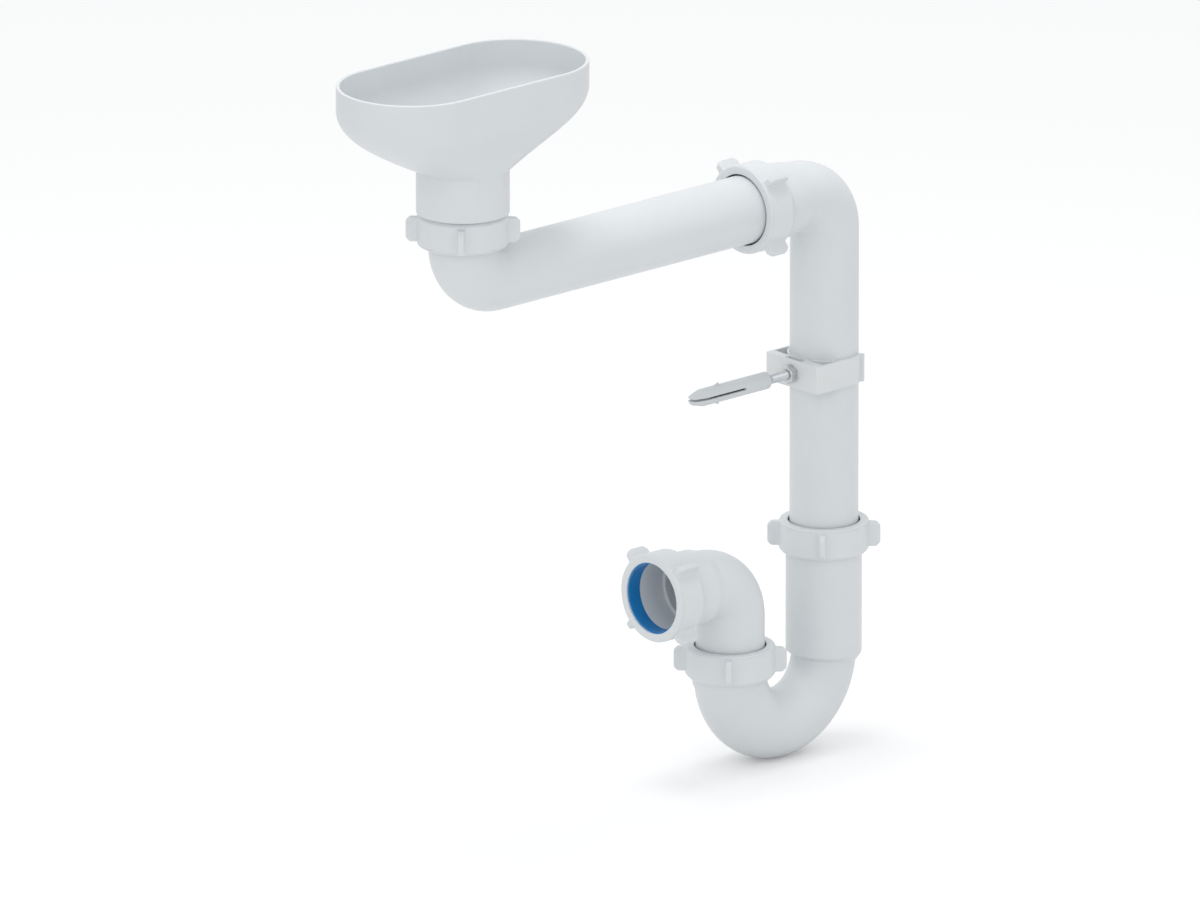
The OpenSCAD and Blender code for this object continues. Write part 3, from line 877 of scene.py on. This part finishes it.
@dataclass
class Studio:
    """Camera, lamps, background and floor of the portrait.

    Attributes:
        back: Direction from the object to the camera.
        aim: Point at the middle of the picture, in metres.
        distance: From the aim to the camera, in metres.
        lens: Focal length in millimetres.
        top_power: Watts of the lamp overhead.
        fill_power: Watts of the lamp beside the camera.
        sky: Strength of the even light from all round.
    """

    back: Colour = (-0.6542, -0.6998, 0.2886)
    aim: Colour = (-0.0686, 0.0, 0.0979)
    distance: float = 20.0
    lens: float = 1042.5
    top_power: float = 6.5
    fill_power: float = 5.0
    sky: float = 0.86

    def camera(self) -> None:
        """Stand the camera at the photograph's angle, far away with a long lens."""
        data = bpy.data.cameras.new("portrait_camera")
        data.lens = self.lens
        data.sensor_width = 36
        data.clip_start, data.clip_end = 1, 100
        camera = bpy.data.objects.new("portrait_camera", data)
        back = Vector(self.back).normalized()
        camera.location = Vector(self.aim) + back * self.distance
        camera.rotation_mode = "QUATERNION"
        camera.rotation_quaternion = (-back).to_track_quat("-Z", "Y")
        bpy.context.scene.collection.objects.link(camera)
        bpy.context.scene.camera = camera

    def lamp(self, name: str, place: Colour, size: float, power: float) -> None:
        """Hang a square lamp that points at the aim.

        Args:
            name: Name of the lamp.
            place: Where it hangs, in metres from the aim.
            size: Side of the square in metres.
            power: Watts.
        """
        data = bpy.data.lights.new(name, "AREA")
        data.shape = "SQUARE"
        data.size = size
        data.energy = power
        lamp = bpy.data.objects.new(name, data)
        lamp.location = Vector(self.aim) + Vector(place)
        lamp.rotation_euler = Vector(place).to_track_quat("Z", "Y").to_euler()
        bpy.context.scene.collection.objects.link(lamp)

    def shown(self, tree: bpy.types.NodeTree) -> bpy.types.NodeSocket:
        """Value that is 1 for what the camera, a mirror or a glass sees, and 0 for light on the object."""
        rays = tree.nodes.new("ShaderNodeLightPath")
        first = tree.nodes.new("ShaderNodeMath")
        first.operation = "MAXIMUM"
        second = tree.nodes.new("ShaderNodeMath")
        second.operation = "MAXIMUM"
        tree.links.new(rays.outputs["Is Camera Ray"], first.inputs[0])
        tree.links.new(rays.outputs["Is Glossy Ray"], first.inputs[1])
        tree.links.new(first.outputs[0], second.inputs[0])
        tree.links.new(rays.outputs["Is Transmission Ray"], second.inputs[1])
        return second.outputs[0]

    def world(self) -> None:
        """Fill the room with even light, and show it white."""
        world = bpy.data.worlds.new("white_room")
        bpy.context.scene.world = world
        world.use_nodes = True
        tree = world.node_tree
        tree.nodes.clear()
        light = tree.nodes.new("ShaderNodeBackground")
        light.inputs["Color"].default_value = (0.985, 0.993, 1.0, 1)
        light.inputs["Strength"].default_value = self.sky
        seen = tree.nodes.new("ShaderNodeBackground")
        seen.inputs["Color"].default_value = (1, 1, 1, 1)
        mix = tree.nodes.new("ShaderNodeMixShader")
        output = tree.nodes.new("ShaderNodeOutputWorld")
        tree.links.new(self.shown(tree), mix.inputs["Fac"])
        tree.links.new(light.outputs[0], mix.inputs[1])
        tree.links.new(seen.outputs[0], mix.inputs[2])
        tree.links.new(mix.outputs[0], output.inputs["Surface"])

    def floor(self, height: float) -> None:
        """Lay a pale floor that shows white and keeps the object's shadow.

        Args:
            height: Height of the floor in metres.
        """
        mesh = bpy.data.meshes.new("studio_floor")
        side = np.linspace(-4, 4, 9)
        x, y = np.meshgrid(side, side, indexing="ij")
        points = np.stack([x, y, np.full_like(x, height)], axis=-1).reshape(-1, 3)
        row = np.arange(8)[:, None] * 9 + np.arange(8)[None, :]
        faces = np.stack([row, row + 9, row + 10, row + 1], axis=-1).reshape(-1, 4)
        mesh.from_pydata(points, [], faces.tolist())
        floor = bpy.data.objects.new("studio_floor", mesh)
        bpy.context.scene.collection.objects.link(floor)
        floor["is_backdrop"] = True
        material = bpy.data.materials.new("pale_floor")
        material.use_nodes = True
        tree = material.node_tree
        tree.nodes.clear()
        diffuse = tree.nodes.new("ShaderNodeBsdfDiffuse")
        diffuse.inputs["Color"].default_value = (0.86, 0.86, 0.86, 1)
        glow = tree.nodes.new("ShaderNodeEmission")
        glow.inputs["Color"].default_value = (1, 1, 1, 1)
        strength = tree.nodes.new("ShaderNodeMath")
        strength.operation = "MULTIPLY"
        strength.inputs[1].default_value = 0.16
        add = tree.nodes.new("ShaderNodeAddShader")
        output = tree.nodes.new("ShaderNodeOutputMaterial")
        tree.links.new(self.shown(tree), strength.inputs[0])
        tree.links.new(strength.outputs[0], glow.inputs["Strength"])
        tree.links.new(diffuse.outputs[0], add.inputs[0])
        tree.links.new(glow.outputs[0], add.inputs[1])
        tree.links.new(add.outputs[0], output.inputs["Surface"])
        mesh.materials.append(material)

    def build(self, floor_height: float) -> None:
        """Set up the whole studio over a floor at the given height in metres."""
        self.camera()
        self.world()
        self.lamp("top_lamp", (-0.05, 0.1, 1.5), 0.6, self.top_power)
        self.lamp("side_lamp", (-1.5, -1.3, 0.9), 1.6, self.fill_power)
        self.floor(floor_height)
        bpy.context.scene.view_settings.view_transform = "Standard"


def main() -> None:
    """Load the frame, build every sub-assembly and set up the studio."""
    logging.basicConfig(level=logging.INFO, format="%(name)s: %(message)s")
    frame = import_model()
    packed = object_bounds()
    wardrobe = Wardrobe()
    PackedParts({
        "swivel_arm": Slot.PLASTIC, "drop_pipe": Slot.PLASTIC, "outlet_elbow": Slot.PLASTIC,
        # The four seals with a pipe through them get the dark grey-blue painted shade; the open outlet seal stays
        # blue.
        "hopper_seal": Slot.SEAL_PAINTED_SHADE, "arm_seal": Slot.SEAL_PAINTED_SHADE, "inlet_seal": Slot.SEAL_PAINTED_SHADE,
        "outlet_leg_seal": Slot.SEAL_PAINTED_SHADE, "outlet_seal": Slot.SEAL,
    }).build(wardrobe, frame)
    made = [OvalHopper().build(wardrobe), TrapBend().build(wardrobe)]
    nuts = {
        "hopper_nut": Facing.UP, "arm_nut": Facing.ALONG_X, "inlet_nut": Facing.DOWN,
        "outlet_leg_nut": Facing.DOWN, "outlet_nut": Facing.ALONG_X,
    }
    made += [WingedNut(node, facing).build(wardrobe) for node, facing in nuts.items()]
    made.append(HangerBolt().build(wardrobe))
    made += [
        SoftenedPart("pipe_clip", Slot.CLIP, 0.4).build(wardrobe, frame),
        SoftenedPart("clip_square_nut", Slot.NUT, 0.25).build(wardrobe, frame),
        SoftenedPart("clip_lock_nut", Slot.NUT, 0.25).build(wardrobe, frame),
        SoftenedPart("wall_plug", Slot.NYLON, 0.3).build(wardrobe, frame),
    ]
    for piece in made:
        log.info("%s: %d faces", piece.name, len(piece.data.polygons))
    Studio().build(packed[0][2])


if __name__ == "__main__":
    main()
